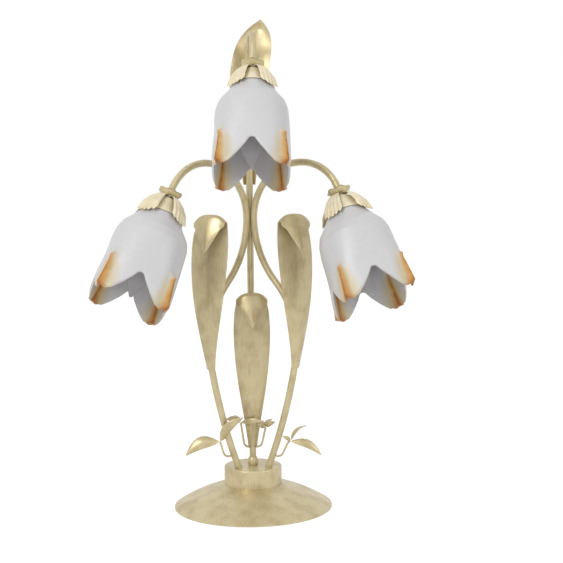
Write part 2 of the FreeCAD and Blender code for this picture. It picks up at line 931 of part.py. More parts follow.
def draw_shade():
    """Tulip glass: four petals parted by rounded notches, hung by its neck."""
    outer = tulip_body(0.0, glass_neck_drop, 1.0)
    inner = tulip_body(glass_wall, glass_neck_drop + glass_wall, fin_inside)
    neck_depth = 3 * glass_wall
    neck = Part.makeCylinder(neck_hole_radius, neck_depth, V(0, 0, -glass_neck_drop - neck_depth / 2))
    glass = outer.cut(inner).cut(neck)
    step = 360.0 / petal_count
    for k in range(petal_count):
        glass = glass.cut(notch_cutter(step * k))
    return glass.cut(tip_cutter())


def tip_cutter():
    """Ring that trims the petals' ends to a slope, higher on their fins."""
    inside = profile_radius_at(petal_tip_drop) - 2 * glass_wall
    outside = profile_radius_at(petal_tip_drop) + 2 * fin_tip
    rise = petal_tip_rise * (outside - inside)
    low = -petal_tip_drop - rise
    return revolve([
        (inside, -petal_tip_drop),
        (outside, -petal_tip_drop + rise),
        (outside, low),
        (inside, low),
    ])


def notch_cutter(angle):
    """A rounded V between two petals, with a step at the petals' corners."""
    run_out = petal_corner + notch_run_on * (notch_open - petal_corner)
    run_down = -petal_corner_drop - notch_run_on * (petal_tip_drop - petal_corner_drop)
    centre = -notch_drop - notch_radius
    fall = -notch_side_drop - centre
    swing = math.atan2(fall, notch_side) + math.acos(notch_radius / math.hypot(notch_side, fall))
    half = [
        V(0, notch_radius * math.cos(swing), centre + notch_radius * math.sin(swing)),
        V(0, notch_side, -notch_side_drop),
        V(0, petal_corner, -petal_corner_drop),
        V(0, run_out, run_down),
    ]
    corners = half + [V(0, -p.y, p.z) for p in reversed(half)]
    edges = [Part.Arc(corners[-1], V(0, 0, -notch_drop), corners[0]).toShape()]
    for start, end in zip(corners, corners[1:]):
        edges.append(Part.LineSegment(start, end).toShape())
    cutter = Part.Face(Part.Wire(edges)).extrude(V(2 * petal_corner_drop, 0, 0))
    cutter.translate(V(notch_radius, 0, 0))
    cutter.rotate(V(0, 0, 0), Z_AXIS, angle)
    return cutter


def draw_bulb_cap():
    """Screw cap of the bulb with its end contact."""
    top = -(socket_floor + slack)
    shell_top = top - bulb_contact
    bottom = shell_top - bulb_cap_length
    return revolve([
        (0, top),
        (bulb_contact_radius, top),
        (bulb_contact_radius, shell_top),
        (bulb_cap_radius, shell_top - 2.0),
        (bulb_cap_radius, bottom),
        (0, bottom),
    ])


def draw_bulb_glass():
    """Frosted candle-shaped envelope of the bulb."""
    top = -(socket_floor + slack + bulb_contact + bulb_cap_length)
    neck = top - bulb_neck
    belly = top - bulb_belly
    tip = top - bulb_length
    shoulder = tip + bulb_point

    def tip_point(slope):
        """(radius, height) on the rounded end, at an angle below the horizontal."""
        turn = math.radians(slope)
        return bulb_tip_radius * math.cos(turn), tip + bulb_tip_radius * (1 - math.sin(turn))

    return revolve(
        [
            (0, top),
            (bulb_neck_radius, top),
            (bulb_neck_radius, neck),
            (bulb_radius, belly),
            (bulb_point_radius, shoulder),
            tip_point(bulb_tip_slope),
            (0, tip),
        ],
        [
            (2, bulb_swell, (neck + belly) / 2),
            (3, bulb_taper, (belly + shoulder) / 2),
            (5,) + tip_point((bulb_tip_slope + 90) / 2),
        ],
    )


# ---------------------------------------------------------------- leaves
def sheet_section(place, across, normal, width, crease, thickness):
    """Closed outline of a creased strip: two bowed wings that meet in a ridge."""
    half = across * (width / 2)
    bow = normal * (crease * 0.72)
    outline = []
    for offset in (normal * 0.0, normal * thickness):
        left = place - half + offset
        right = place + half + offset
        ridge = place + normal * crease + offset
        left_mid = place - half * 0.5 + bow + offset
        right_mid = place + half * 0.5 + bow + offset
        outline.append((left, left_mid, ridge, right_mid, right))
    low, high = outline
    edges = [
        Part.Arc(low[0], low[1], low[2]).toShape(),
        Part.Arc(low[2], low[3], low[4]).toShape(),
        Part.LineSegment(low[4], high[4]).toShape(),
        Part.Arc(high[4], high[3], high[2]).toShape(),
        Part.Arc(high[2], high[1], high[0]).toShape(),
        Part.LineSegment(high[0], low[0]).toShape(),
    ]
    return Part.Wire(edges)


def strap_width(share, widest):
    """Width of a long leaf: narrow at the tube, widest at three quarters, then drawn in."""
    grown = math.sin(math.pi / 2 * min(1.0, share / 0.78)) ** 1.25
    drawn = 0.2 * max(0.0, (share - 0.78) / 0.22) ** 1.5
    return leaf_base_width + (widest - leaf_base_width) * (grown - drawn)


def strap_leaf(seat, across, outward, length, widest, flap, lean, sideways):
    """A long leaf that runs up from its seat on a tube's face and folds over at its top.

    lean is the outward lean in mm at the fold and sideways the drift along across in mm.
    """
    sections = []
    for k in range(leaf_steps + 1):
        share = k / float(leaf_steps)
        out = lean * (1 - (1 - share) ** 3)
        crease = leaf_base_crease + (leaf_crease - leaf_base_crease) * math.sin(math.pi * share)
        crease -= (leaf_base_crease - leaf_fold_crease) * share
        place = seat + Z_AXIS * (length * share) + across * (sideways * share * share)
        place = place + outward * (out - leaf_base_crease)
        width = strap_width(share, widest)
        sections.append(sheet_section(place, across, outward, width, crease, leaf_thickness))
    top = seat + Z_AXIS * length + across * sideways + outward * (lean - leaf_base_crease)
    centre = top + outward * leaf_fold_radius
    top_width = strap_width(1.0, widest)
    for k in range(1, leaf_fold_steps + 1):
        share = k / float(leaf_fold_steps)
        angle = math.radians(leaf_fold_turn * share)
        inner = outward * -math.cos(angle) + Z_AXIS * math.sin(angle)
        place = centre + inner * leaf_fold_radius
        crease = leaf_fold_crease * (1 - 2 * share)
        sections.append(sheet_section(place, across, inner * -1, top_width, crease, leaf_thickness))
    turned = math.radians(leaf_fold_turn)
    fall = outward * math.sin(turned) + Z_AXIS * math.cos(turned)
    normal = outward * math.cos(turned) - Z_AXIS * math.sin(turned)
    hinge = centre - normal * leaf_fold_radius
    for k in range(1, leaf_flap_steps + 1):
        share = k / float(leaf_flap_steps)
        width = max(leaf_tip_width, top_width * (1 - share ** 1.4))
        crease = -min(leaf_fold_crease + 1.5 * math.sin(math.pi * share), width / 4)
        place = hinge + fall * (flap * share)
        sections.append(sheet_section(place, across, normal, width, crease, leaf_thickness))
    return Part.makeLoft(sections, True, True)


def make_front_leaf():
    """Low leaf in front of the centre stem."""
    seat = V(0, -tube_radius - leaf_seat_gap, front_leaf_base)
    return strap_leaf(seat, X_AXIS, Y_AXIS * -1, front_leaf_length, front_leaf_width,
                      front_leaf_flap, front_leaf_lean, 0.0)


def arm_point_at(side, height):
    """The point of a side arm's foot bend at a height, and its upward direction."""
    azimuth = outward_azimuth(side, arm_spread)
    path = arm_lower_path(side)
    bend_top = path.edges[-1].firstVertex().Point.z
    level = Part.makePlane(4 * base_radius, 4 * base_radius, V(-2 * base_radius, -2 * base_radius, height))
    found = Part.Wire(path.edges).section(level).Vertexes[0].Point
    return found, aim(azimuth, foot_lean(bend_top, height))


def make_side_leaf(side):
    """Tall leaf brazed to the outside of a side arm."""
    sign = -1 if side == "left" else 1
    centre, rise = arm_point_at(side, side_leaf_base)
    outward = upward(-90 + sign * side_leaf_facing)
    across = V(-outward.y, outward.x, 0)
    seat = centre + outward * (tube_radius + leaf_seat_gap)
    return strap_leaf(seat, across, outward, side_leaf_length, side_leaf_width,
                      side_leaf_flap, side_leaf_lean, -sign * side_leaf_drift)


def make_top_leaf():
    """Tall pointed leaf behind the centre stem."""
    length = top_leaf_height - top_leaf_base
    sections = []
    for k in range(leaf_steps + 1):
        share = k / float(leaf_steps)
        grown = math.sin(math.pi / 2 * min(1.0, share / 0.66)) ** 1.2
        drawn = max(0.0, (share - 0.66) / 0.34) ** 4
        width = top_leaf_base_width + (top_leaf_width - top_leaf_base_width) * grown
        width = max(leaf_tip_width, width - top_leaf_width * drawn)
        crease = min(leaf_base_crease + (leaf_crease - leaf_base_crease) * share, width / 4)
        back = tube_radius + leaf_seat_gap - leaf_base_crease + top_leaf_lean * share
        drift = top_leaf_drift * max(0.0, (share - 0.5) / 0.5) ** 2
        place = V(drift, back, top_leaf_base + length * share)
        sections.append(sheet_section(place, X_AXIS, Y_AXIS, width, crease, leaf_thickness))
    return Part.makeLoft(sections, True, True)


# ---------------------------------------------------------------- small sprays
def spray_wire(start, azimuth, run, lean, lift, curl):
    """A wire that leaves a tube sideways, turns up, then curls outward again."""
    path = TubePath(start, upward(azimuth))
    path.line(run)
    path.bend(wire_bend, aim(azimuth, lean))
    path.line(lift)
    path.bend(wire_curl_radius, aim(azimuth, curl))
    return path


def leaflet(root, chord, width, bow, arch, face):
    """A small pointed leaf along a chord from its root.

    bow is how far its middle stands out along face, and arch how far it rises sideways.
    """
    along = V(chord.x, chord.y, chord.z)
    along.normalize()
    normal = face - along * face.dot(along)
    normal.normalize()
    across = normal.cross(along)
    if across.z < 0:
        across = across * -1
    sections = []
    for k in range(leaflet_stations):
        share = k / (leaflet_stations - 1.0)
        swell = math.sin(math.pi * share)
        breadth = max(leaflet_tip, width * max(0.0, math.sin(math.pi * share ** leaflet_skew)) ** 0.8)
        place = root + along * (chord.Length * share) + normal * (bow * swell) + across * (arch * swell)
        crease = leaflet_crease * breadth
        sections.append(sheet_section(place, across, normal, breadth, crease, leaflet_thickness))
    return Part.makeLoft(sections, True, False)


def tube_side(side, height, azimuth):
    """A point on an arm's surface at a height, on the side that faces an azimuth."""
    centre, rise = arm_point_at(side, height)
    flat = upward(azimuth) - rise * upward(azimuth).dot(rise)
    flat.normalize()
    return centre + flat * (tube_radius + wire_seat)


def spray_specs():
    """Each spray: its wire's path and its leaflets.

    A leaflet is (chord, width, bow, arch, face).
    """
    front = Y_AXIS * -1
    raised = V(0, -0.9, 0.45)
    seat = tube_radius + weld_gap
    low = spray_foot - wire_radius
    return {
        "left_spray": (spray_wire(tube_side("left", 67.5, 205), 205, 2.5, 17, 12.0, 30), [
            (V(-39, -3, -15), 15.0, 2.5, 6.0, raised),
            (V(27, -7, 28), 11.0, 3.0, 5.0, front),
            (V(8, 12, 4), 6.0, 1.0, 1.5, front),
        ]),
        "right_spray": (spray_wire(tube_side("right", 66.0, -25), -25, 2.0, 26, 12.0, 58), [
            (V(35, -3, -17), 10.0, 2.5, 4.5, raised),
            (V(19, 9, 15), 8.0, 4.0, 1.0, Z_AXIS),
            (V(-9, -4, 6), 5.0, 1.0, 1.0, front),
        ]),
        "centre_left_spray": (spray_wire(upward(205) * seat + V(0, 0, low), 205, 0.4, 9, 23.0, 15), [
            (V(-17, -1, 4), 7.0, 1.0, 2.0, raised),
            (V(26, -11, 3), 6.5, 3.0, 1.5, front),
            (V(-6, 15, 5), 7.0, 1.5, 1.5, Z_AXIS),
        ]),
        "centre_right_spray": (spray_wire(upward(-28) * seat + V(0, 0, low), -28, 1.2, 14, 17.0, 24), [
            (V(-10, -5, 5), 8.0, 1.0, 1.5, front),
            (V(10, -2, 6), 5.5, 1.0, 1.5, front),
            (V(8, 15, 6), 7.0, 1.5, 1.5, Z_AXIS),
        ]),
    }


def make_leaflets(path, tips):
    """The leaflets of one spray, brazed round the end of its wire."""
    leaves = []
    for chord, width, bow, arch, face in tips:
        fan = V(chord.x, chord.y, chord.z)
        fan.normalize()
        root = path.place + path.direction * leaflet_lift + fan * leaflet_fan
        leaves.append(leaflet(root, chord, width, bow, arch, face))
    return Part.Compound(leaves)


# ---------------------------------------------------------------- build
def save(name, shape):
    """Write one piece as a STEP file named for its node."""
    shape.exportStep("parts/" + name + ".step")
    print(name, len(shape.Solids), "solids", round(shape.Volume, 1), "mm3", "valid", shape.isValid())


def main():
    """Build every piece."""
    os.makedirs("parts", exist_ok=True)
    save("base_dish", make_base_dish())
    save("base_weight", make_base_weight())
    save("base_cover", make_base_cover())
    save("cover_screws", make_cover_screws())
    save("felt_pad", make_felt_pad())
    save("cord_bush", make_cord_bush())
    save("drum", make_drum())
    save("stem_plate", make_stem_plate())
    save("stem_ferrule", make_stem_ferrule())
    save("base_nut", make_base_nut())
    save("base_washer", make_base_washer())
    save("terminal_block", make_terminal_block())
    save("terminal_screws", make_terminal_screws())
    save("centre_stem", make_centre_stem())
    save("centre_flex", make_centre_flex())
    for side in ("left", "right"):
        save(side + "_arm", make_side_arm(side))
        save(side + "_flex", make_side_flex(side))
        save(side + "_leaf", make_side_leaf(side))
    save("front_leaf", make_front_leaf())
    save("top_leaf", make_top_leaf())
    for name, (path, tips) in spray_specs().items():
        save(name + "_wire", sweep(path, wire_radius))
        save(name + "_leaves", make_leaflets(path, tips))
    pieces = {
        "nipple": draw_nipple(),
        "collar": draw_collar(),
        "calyx": draw_calyx(),
        "cup": draw_cup(),
        "holder": draw_holder(),
        "shade_ring": draw_ring(),
        "shade": draw_shade(),
        "bulb_cap": draw_bulb_cap(),
        "bulb_glass": draw_bulb_glass(),
    }
    locknuts = []
    for head in ("centre", "left", "right"):
        place = head_place(head)
        for piece, drawn in pieces.items():
            shape = drawn.copy()
            shape.Placement = place
            save(head + "_" + piece, shape)
        nut = draw_locknut()
        nut.Placement = place
        locknuts.append(nut)
    save("lock_nuts", Part.Compound(locknuts))


main()
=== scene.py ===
import json
import math

import bpy
from mathutils import Euler, Matrix, Vector


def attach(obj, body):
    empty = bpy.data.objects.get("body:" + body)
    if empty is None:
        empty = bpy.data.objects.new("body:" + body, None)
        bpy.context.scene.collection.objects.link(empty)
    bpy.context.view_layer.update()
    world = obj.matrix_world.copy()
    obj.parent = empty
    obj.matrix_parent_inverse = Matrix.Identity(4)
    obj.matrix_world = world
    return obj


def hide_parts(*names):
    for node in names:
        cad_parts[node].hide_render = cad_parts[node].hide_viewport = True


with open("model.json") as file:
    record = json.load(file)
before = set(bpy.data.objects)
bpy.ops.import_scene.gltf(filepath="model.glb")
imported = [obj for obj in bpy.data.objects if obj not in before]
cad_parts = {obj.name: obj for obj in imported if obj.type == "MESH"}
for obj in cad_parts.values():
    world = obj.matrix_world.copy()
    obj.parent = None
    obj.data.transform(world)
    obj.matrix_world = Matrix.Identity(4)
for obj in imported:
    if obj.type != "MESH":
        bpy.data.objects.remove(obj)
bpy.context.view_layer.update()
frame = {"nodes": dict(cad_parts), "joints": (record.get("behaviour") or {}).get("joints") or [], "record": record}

bl_info = {
    "name": "Tulip Table Lamp",
    "version": (1, 0, 0),
    "blender": (4, 5, 0),
    "location": "View3D > Sidebar > Tulip Lamp",
    "description": "Dresses the packed lamp with its glass tulips, sepals, leaves and finishes",
    "category": "Object",
}

MM = 0.001
HEADS = {"centre": 3.6, "left": 50.2, "right": -25.0}   # name: turn of its petals in degrees


# ---------------------------------------------------------------- properties
class TulipLampSizes(bpy.types.PropertyGroup):
    wall: bpy.props.FloatProperty(
        name="Glass wall", description="Thickness of the blown glass, in mm",
        default=2.6, min=1.0, max=5.0)
    fin_root: bpy.props.FloatProperty(
        name="Fin at its top", description="How far the pinched fin stands out under its nub, in mm",
        default=3.0)
    fin_tip: bpy.props.FloatProperty(
        name="Fin at its tip", description="How far the pinched fin stands out at the petal's end, in mm",
        default=8.2)
    nub: bpy.props.FloatProperty(
        name="Nub", description="Height of the drop of glass at the top of each fin, in mm",
        default=2.4)
    rib: bpy.props.FloatProperty(
        name="Sepal rib", description="Height of the pressed ribs on the sepals, in mm",
        default=0.75)
    metal_sheet: bpy.props.FloatProperty(
        name="Sheet", description="Thickness of the pressed leaves, in mm",
        default=1.0, min=0.3, max=3.0)


class TulipLampColours(bpy.types.PropertyGroup):
    gold: bpy.props.StringProperty(
        name="Gold paint", description="Champagne gold, sRGB hex", default="D2C49C")
    gold_dark: bpy.props.StringProperty(
        name="Patina", description="Brown glaze in the gold, sRGB hex", default="A8956B")
    cream: bpy.props.StringProperty(
        name="Sepal paint", description="Pale cream gold, sRGB hex", default="F0E6C8")
    glass: bpy.props.StringProperty(
        name="Frosted glass", description="Body of the glass, sRGB hex", default="E9E8E9")
    haze: bpy.props.StringProperty(
        name="Stain haze", description="Soft tan round each fin, sRGB hex", default="DCCB9C")
    amber: bpy.props.StringProperty(
        name="Amber stain", description="Amber on the fins, sRGB hex", default="D8942E")
    amber_dark: bpy.props.StringProperty(
        name="Amber tip", description="Orange brown at petal ends, sRGB hex", default="B8621E")


def sizes():
    """The lamp's sizes as set in the scene."""
    return bpy.context.scene.tulip_lamp_sizes


def colours():
    """The lamp's colours as set in the scene."""
    return bpy.context.scene.tulip_lamp_colours


# ---------------------------------------------------------------- materials
FINISHES = {}            # record slot to material, filled by the first operator


def linear(code):
    """An sRGB hex code as linear red, green, blue and alpha."""
    out = []
    for k in (0, 2, 4):
        value = int(code[k:k + 2], 16) / 255.0
        out.append(value / 12.92 if value <= 0.04045 else ((value + 0.055) / 1.055) ** 2.4)
    return (out[0], out[1], out[2], 1.0)


def add_node(tree, kind, settings=None, links=None):
    """Adds a node, gives its properties and sockets their values, and links its inputs."""
    node = tree.nodes.new(kind)
    for key, value in (settings or {}).items():
        if isinstance(key, int) or key in node.inputs:
            node.inputs[key].default_value = value
        else:
            setattr(node, key, value)
    for key, socket in (links or {}).items():
        tree.links.new(socket, node.inputs[key])
    return node


def new_material(name):
    """An empty node material with its output and shader."""
    material = bpy.data.materials.new(name)
    material.use_nodes = True
    tree = material.node_tree
    tree.nodes.clear()
    shader = add_node(tree, "ShaderNodeBsdfPrincipled")
    add_node(tree, "ShaderNodeOutputMaterial", links={"Surface": shader.outputs["BSDF"]})
    return material, tree, shader


def painted_metal(name, light, dark, metallic, rough):
    """Metallic paint rubbed with a brown glaze.

    Fine streaks run up the tubes, and the glaze gathers in soft patches about 2 cm across.
    """
    material, tree, shader = new_material(name)
    where = add_node(tree, "ShaderNodeTexCoord")
    stretch = add_node(tree, "ShaderNodeMapping", {"Scale": (1.0, 1.0, 0.12)},
                       {"Vector": where.outputs["Object"]})            # streaks 8 times longer than wide
    streaks = add_node(tree, "ShaderNodeTexNoise", {"Scale": 620.0, "Detail": 3.0},
                       {"Vector": stretch.outputs["Vector"]})          # brush marks 1.6 mm apart
    patches = add_node(tree, "ShaderNodeTexNoise", {"Scale": 55.0, "Detail": 4.0},
                       {"Vector": where.outputs["Object"]})            # glaze patches 18 mm across
    both = add_node(tree, "ShaderNodeMath", {"operation": "MULTIPLY_ADD", 1: 0.55},
                    {0: streaks.outputs["Fac"], 2: patches.outputs["Fac"]})
    share = add_node(tree, "ShaderNodeMapRange", {"From Min": 0.66, "From Max": 1.25},
                     {"Value": both.outputs["Value"]})
    tint = add_node(tree, "ShaderNodeMix", {"data_type": "RGBA", 6: linear(light), 7: linear(dark)},
                    {0: share.outputs["Result"]})
    tree.links.new(tint.outputs[2], shader.inputs["Base Color"])
    gloss = add_node(tree, "ShaderNodeMapRange", {"To Min": rough - 0.05, "To Max": rough + 0.14},
                     {"Value": share.outputs["Result"]})
    tree.links.new(gloss.outputs["Result"], shader.inputs["Roughness"])
    bump = add_node(tree, "ShaderNodeBump", {"Strength": 0.12, "Distance": 0.0002},
                    {"Height": streaks.outputs["Fac"]})
    tree.links.new(bump.outputs["Normal"], shader.inputs["Normal"])
    shader.inputs["Metallic"].default_value = metallic
    return material


def plain_finish(name, light, dark, grain_mm, rough, metallic=0.0, bump_mm=0.05):
    """A moulded, cast, plated or woven finish whose tone and relief vary with a grain in mm."""
    material, tree, shader = new_material(name)
    where = add_node(tree, "ShaderNodeTexCoord")
    grain = add_node(tree, "ShaderNodeTexNoise", {"Scale": 1000.0 / grain_mm, "Detail": 3.0},
                     {"Vector": where.outputs["Object"]})
    tint = add_node(tree, "ShaderNodeMix", {"data_type": "RGBA", 6: linear(dark), 7: linear(light)},
                    {0: grain.outputs["Fac"]})
    tree.links.new(tint.outputs[2], shader.inputs["Base Color"])
    gloss = add_node(tree, "ShaderNodeMapRange", {"To Min": rough - 0.06, "To Max": rough + 0.06},
                     {"Value": grain.outputs["Fac"]})
    tree.links.new(gloss.outputs["Result"], shader.inputs["Roughness"])
    bump = add_node(tree, "ShaderNodeBump", {"Strength": 0.3, "Distance": bump_mm * MM},
                    {"Height": grain.outputs["Fac"]})
    tree.links.new(bump.outputs["Normal"], shader.inputs["Normal"])
    shader.inputs["Metallic"].default_value = metallic
    return material


def frosted_bulb_glass():
    """Inside-frosted bulb glass: cool grey white with a soft even sheen."""
    material = plain_finish("frosted_bulb_glass", "C9C8CC", "BDBCC2", 6.0, 0.42, bump_mm=0.02)
    shader = material.node_tree.nodes["Principled BSDF"]
    shader.inputs["Transmission Weight"].default_value = 0.15
    return material


def stained_frosted_glass():
    """Acid-frosted glass with amber stain.

    The body is a milky grey white with fine mottling.  The UV map holds each point's distance
    across its petal and its drop, both in cm, so that the stain follows the fins.
    """
    paint = colours()
    material, tree, shader = new_material("stained_frosted_glass")
    uv = add_node(tree, "ShaderNodeUVMap", {"uv_map": "petal"})
    split = add_node(tree, "ShaderNodeSeparateXYZ", links={0: uv.outputs["UV"]})
    where = add_node(tree, "ShaderNodeTexCoord")
    wander = add_node(tree, "ShaderNodeTexNoise", {"Scale": 150.0, "Detail": 3.0},
                      {"Vector": where.outputs["Object"]})            # the stain's edge wanders in 7 mm waves
    shift = add_node(tree, "ShaderNodeMath", {"operation": "MULTIPLY_ADD", 1: 0.34, 2: -0.17},
                     {0: wander.outputs["Fac"]})                       # by up to 1.7 mm either way
    side = add_node(tree, "ShaderNodeMath", {"operation": "ABSOLUTE"}, {0: split.outputs["X"]})
    across = add_node(tree, "ShaderNodeMath", {"operation": "ADD"},
                      {0: side.outputs["Value"], 1: shift.outputs["Value"]})
    drop = add_node(tree, "ShaderNodeMath", {"operation": "ADD"},
                    {0: split.outputs["Y"], 1: shift.outputs["Value"]})

    mottle = add_node(tree, "ShaderNodeTexNoise", {"Scale": 260.0, "Detail": 5.0},
                      {"Vector": where.outputs["Object"]})             # frost mottling 3.8 mm across
    body = add_node(tree, "ShaderNodeMix",
                    {"data_type": "RGBA", 6: linear(paint.glass), 7: linear("DCDBDD")},
                    {0: mottle.outputs["Fac"]})
    spread = add_node(tree, "ShaderNodeMapRange",
                      {"From Min": 9.2, "From Max": 13.8, "To Min": 0.55, "To Max": 1.2},
                      {"Value": drop.outputs["Value"]})                # a stain widens towards the tip
    off = add_node(tree, "ShaderNodeMath", {"operation": "DIVIDE"},
                   {0: across.outputs["Value"], 1: spread.outputs["Result"]})
    stains = (                          # colour, where it ends and is full across, and down, in cm
        (paint.haze, 2.2, 0.2, 8.2, 11.0),
        (paint.amber, 0.62, 0.04, 9.0, 9.9),
        (paint.amber_dark, 0.95, 0.10, 12.2, 14.0),
        ("B06A1C", 0.15, 0.02, 9.6, 10.8),
    )
    tinted = body.outputs[2]
    for colour, edge, full, start, deep in stains:
        sideways = add_node(tree, "ShaderNodeMapRange",
                            {"interpolation_type": "SMOOTHSTEP", "From Min": edge, "From Max": full},
                            {"Value": off.outputs["Value"]})
        down = add_node(tree, "ShaderNodeMapRange",
                        {"interpolation_type": "SMOOTHSTEP", "From Min": start, "From Max": deep},
                        {"Value": drop.outputs["Value"]})
        share = add_node(tree, "ShaderNodeMath", {"operation": "MULTIPLY"},
                         {0: sideways.outputs["Result"], 1: down.outputs["Result"]})
        layer = add_node(tree, "ShaderNodeMix", {"data_type": "RGBA", 7: linear(colour)},
                         {0: share.outputs["Value"], 6: tinted})
        tinted = layer.outputs[2]
    tree.links.new(tinted, shader.inputs["Base Color"])
    bump = add_node(tree, "ShaderNodeBump", {"Strength": 0.06, "Distance": 0.0002},
                    {"Height": mottle.outputs["Fac"]})
    tree.links.new(bump.outputs["Normal"], shader.inputs["Normal"])
    shader.inputs["Roughness"].default_value = 0.42
    shader.inputs["Transmission Weight"].default_value = 0.22
    shader.inputs["IOR"].default_value = 1.5
    shader.inputs["Coat Weight"].default_value = 0.18
    shader.inputs["Coat Roughness"].default_value = 0.25
    return material


def make_materials():
    """Every finish of the lamp by its record slot."""
    paint = colours()
    return {
        "antique_gold": painted_metal("brushed_gold_paint", paint.gold, paint.gold_dark, 0.40, 0.36),
        "leaf_gold": painted_metal("leaf_gold_paint", "D0C198", paint.gold_dark, 0.40, 0.34),
        "cream_gold": painted_metal("sepal_cream_paint", paint.cream, "CFBD90", 0.20, 0.40),
        "frosted_glass": stained_frosted_glass(),
        "bulb_glass": frosted_bulb_glass(),
        "nickel_cap": plain_finish("nickel_plate", "BDBBB4", "A5A39C", 3.0, 0.24, 1.0),
        "zinc_steel": plain_finish("zinc_plate", "A9ABAD", "8D9093", 5.0, 0.38, 1.0),
        "brass": plain_finish("turned_brass", "C9A45A", "A8843F", 2.0, 0.28, 1.0),
        "cast_iron": plain_finish("sand_cast_iron", "3A3A3C", "29292B", 1.4, 0.72, 0.3, 0.3),
        "black_plastic": plain_finish("moulded_phenolic", "1F1F20", "141415", 1.2, 0.45),
        "white_plastic": plain_finish("moulded_nylon", "DEDED6", "CFCFC6", 1.2, 0.42),
        "flex_insulation": plain_finish("extruded_flex", "CDBE96", "BBAA80", 2.5, 0.48),
        "felt": plain_finish("pressed_felt", "2B332D", "181D1A", 0.8, 0.95, 0.0, 0.4),
    }


# ---------------------------------------------------------------- modelling
def shape_grid(name, columns, rows, place):
    """Adds a grid and carries each point (s, t), both 0 to 1, to place(s, t)."""
    bpy.ops.object.select_all(action="DESELECT")
    bpy.ops.mesh.primitive_grid_add(x_subdivisions=columns, y_subdivisions=rows, size=1.0,
                                    location=(0.0, 0.0, 0.0))
    piece = bpy.context.active_object
    piece.name = name
    for point in piece.data.vertices:
        point.co = place(point.co.x + 0.5, point.co.y + 0.5)
    return piece


def close_seams(piece):
    """Merges the points that meet at seams and turns the faces outwards."""
    bpy.ops.object.select_all(action="DESELECT")
    piece.select_set(True)
    bpy.context.view_layer.objects.active = piece
    bpy.ops.object.mode_set(mode="EDIT")
    bpy.ops.mesh.select_all(action="SELECT")
    bpy.ops.mesh.remove_doubles(threshold=0.00002)
    bpy.ops.mesh.normals_make_consistent(inside=False)
    bpy.ops.object.mode_set(mode="OBJECT")


def thicken(piece, thickness):
    """Gives a sheet its wall, half to each side."""
    bpy.context.view_layer.objects.active = piece
    wall = piece.modifiers.new("wall", "SOLIDIFY")
    wall.thickness = thickness
    wall.offset = 0.0
    wall.use_even_offset = True
    bpy.ops.object.modifier_apply(modifier=wall.name)


def join_pieces(pieces, name):
    """Joins pieces into the first one."""
    bpy.ops.object.select_all(action="DESELECT")
    for piece in pieces:
        piece.select_set(True)
    bpy.context.view_layer.objects.active = pieces[0]
    bpy.ops.object.join()
    pieces[0].name = name
    return pieces[0]


def smooth(piece, degrees):
    """Shades a piece smooth, apart from edges sharper than an angle in degrees."""
    bpy.ops.object.select_all(action="DESELECT")
    piece.select_set(True)
    bpy.context.view_layer.objects.active = piece
    bpy.ops.object.shade_smooth_by_angle(angle=math.radians(degrees))


def dress(piece, body, nodes, material):
    """Hands a finished piece to the frame."""
    piece.data.materials.clear()
    piece.data.materials.append(material)
    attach(piece, body)
    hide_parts(*nodes)


RING_DROP = 0.027        # from a head's base to the middle of its ring joint, in metres


def head_matrix(name):
    """From a head's own frame in mm, hanging down -Z, to the lamp's frame in metres."""
    joint = [j for j in frame["joints"] if j["name"] == name + "_ring_turn"][0]
    hang = Vector(joint["axis"]).normalized()
    base = Vector(joint["pos_m"]) - hang * RING_DROP
    azimuth = math.atan2(hang.y, hang.x)
    tilt = math.acos(-hang.z)
    turn = (Matrix.Rotation(azimuth, 4, "Z") @ Matrix.Rotation(-tilt, 4, "Y")
            @ Matrix.Rotation(math.radians(HEADS[name]), 4, "Z"))
    return Matrix.Translation(base) @ turn @ Matrix.Scale(MM, 4)


def copy_to_heads(master, kind, body, slot, node, degrees):
    """Copies a piece to each head, every copy with its own mesh, and removes the master."""
    for name in HEADS:
        piece = master.copy()
        piece.data = master.data.copy()
        bpy.context.collection.objects.link(piece)
        piece.name = name + kind
        piece.data.transform(head_matrix(name))
        smooth(piece, degrees)
        dress(piece, body.format(name), [name + node], FINISHES[slot])
    bpy.data.objects.remove(master)


def ramp(value, low, high):
    """0 up to low, 1 from high, and an even S between them."""
    share = min(1.0, max(0.0, (value - low) / (high - low)))
    return share * share * (3 - 2 * share)


def along(points, value):
    """Straight-line lookup in (value, result) points."""
    for (a, p), (b, q) in zip(points, points[1:]):
        if value <= b:
            return p + (q - p) * max(0.0, value - a) / (b - a)
    return points[-1][1]


# ---------------------------------------------------------------- tulip glass, in mm
# (drop, radius) down the outside, and (distance from a notch's middle, drop of the edge)
GLASS_PROFILE = [(20.4, 16.5), (22.4, 20.0), (26.5, 22.8), (36.7, 29.8), (46.0, 37.2), (55.0, 40.6),
                 (66.0, 42.2), (78.0, 43.0), (90.0, 43.8), (98.0, 44.4), (106.0, 45.0), (116.0, 45.8),
                 (128.0, 46.8), (146.0, 48.4)]
NOTCH_EDGE = [(0.0, 104.7), (1.8, 105.0), (3.6, 105.9), (5.5, 108.6), (8.5, 113.0), (18.5, 125.0),
              (24.5, 131.5), (27.5, 132.4), (30.5, 135.6), (34.0, 139.5)]
NECK_HOLE = 14.6
NECK_TOP = 20.4          # drops of the flat neck's two faces
NECK_UNDER = 23.0
NOTCH_TOP = 104.7
TIP_RADIUS = 46.6        # radius of the glass near the petals' ends
LOBE_START = 40.0
LOBE = 0.045             # share of the radius by which the four petals bulge
DENT = 0.008             # share of the radius of the soft dents
DENT_LENGTH = 9.0
FIN_START = 91.0
FIN_FULL = 97.0
FIN_LENGTH = 48.5
FIN_HALF = 3.2           # half the width of a fin
NUB_DROP = 96.0
NUB_HALF = 2.6
TIP_SLOPE = 0.79         # how much of its height a fin's end is cut back
